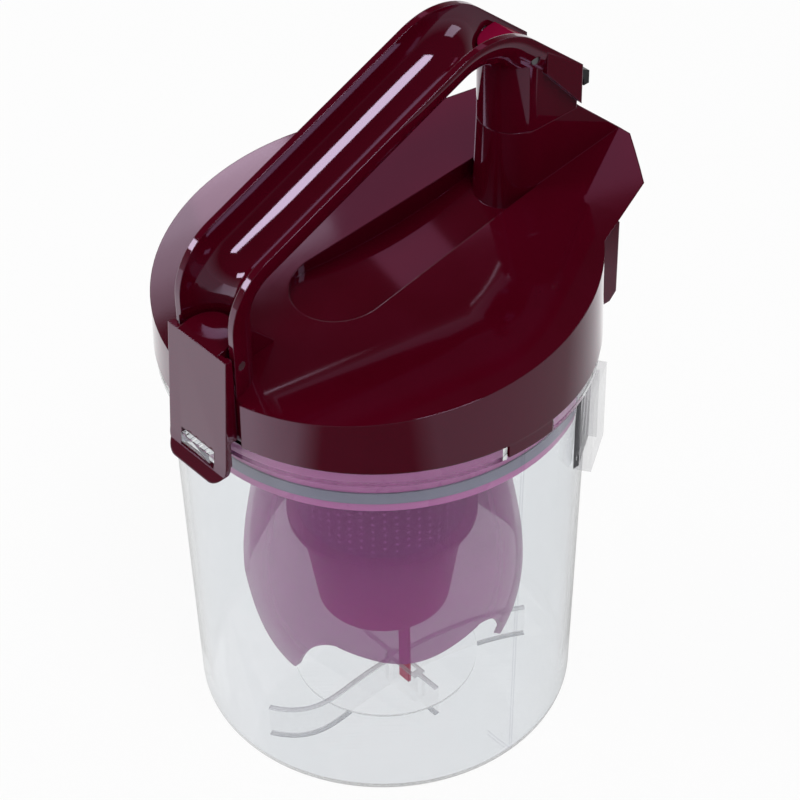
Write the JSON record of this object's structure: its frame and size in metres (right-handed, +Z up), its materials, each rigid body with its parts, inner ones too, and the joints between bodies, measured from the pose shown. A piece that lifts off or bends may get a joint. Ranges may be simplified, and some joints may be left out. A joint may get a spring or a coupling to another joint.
{
  "type": "cyclone dust bin",
  "caption": "Clear vacuum-cleaner dust bin with a glossy lid, arched carry handle, front latch and a lobed purple cyclone separator inside.",
  "frame": {"origin": "centre of the bin's base, on the bin's axis", "axes": "+Z up the bin's axis; -Y towards the latch; +Y towards the air ports; X across"},
  "size_m": [0.15, 0.1816, 0.2592],
  "materials": {
    "clear_plastic": "clear polished",
    "burgundy_plastic": "high gloss",
    "crimson_plastic": "gloss",
    "grey_rubber": "matte",
    "purple_plastic": "satin, slightly see-through",
    "screen_plastic": "perforated",
    "dark_plastic": "satin",
    "steel": "plain"
  },
  "bodies": {
    "bin": {"bin": "clear_plastic", "base_vanes": "clear_plastic"},
    "lid": {"lid": "burgundy_plastic", "handle": "burgundy_plastic", "latch_pin": "steel", "latch_spring": "steel", "button_pin": "steel", "button_spring": "steel", "handle_screws": "steel", "mount_screws": "steel", "separator_mount": "purple_plastic", "seal_ring": "grey_rubber", "separator_bell": "purple_plastic", "inner_cone": "purple_plastic", "mesh_screen": "screen_plastic", "screen_base": "purple_plastic", "outlet_tube": "purple_plastic", "port_gasket": "grey_rubber", "port_grille": "dark_plastic"},
    "latch": {"latch": "burgundy_plastic"},
    "button": {"release_button": "crimson_plastic", "catch_hook": "dark_plastic"}
  },
  "joints": [
    {"name": "lid_lift", "type": "slide", "parent": "bin", "child": "lid", "axis": [0, 0, 1], "range_m": [0, 0.155]},
    {"name": "latch_turn", "type": "hinge", "parent": "lid", "child": "latch", "pos_m": [0, -0.068, 0.18697], "axis": [-1, 0, 0], "range_deg": [0, 7], "stiffness_Nm_per_rad": 0.3, "springref_deg": -2.86, "deforming": ["latch_spring"]},
    {"name": "button_press", "type": "hinge", "parent": "lid", "child": "button", "pos_m": [0, 0.058, 0.243], "axis": [-1, 0, 0], "range_deg": [0, 5], "stiffness_Nm_per_rad": 0.4, "springref_deg": -2.86, "deforming": ["button_spring"]}
  ]
}
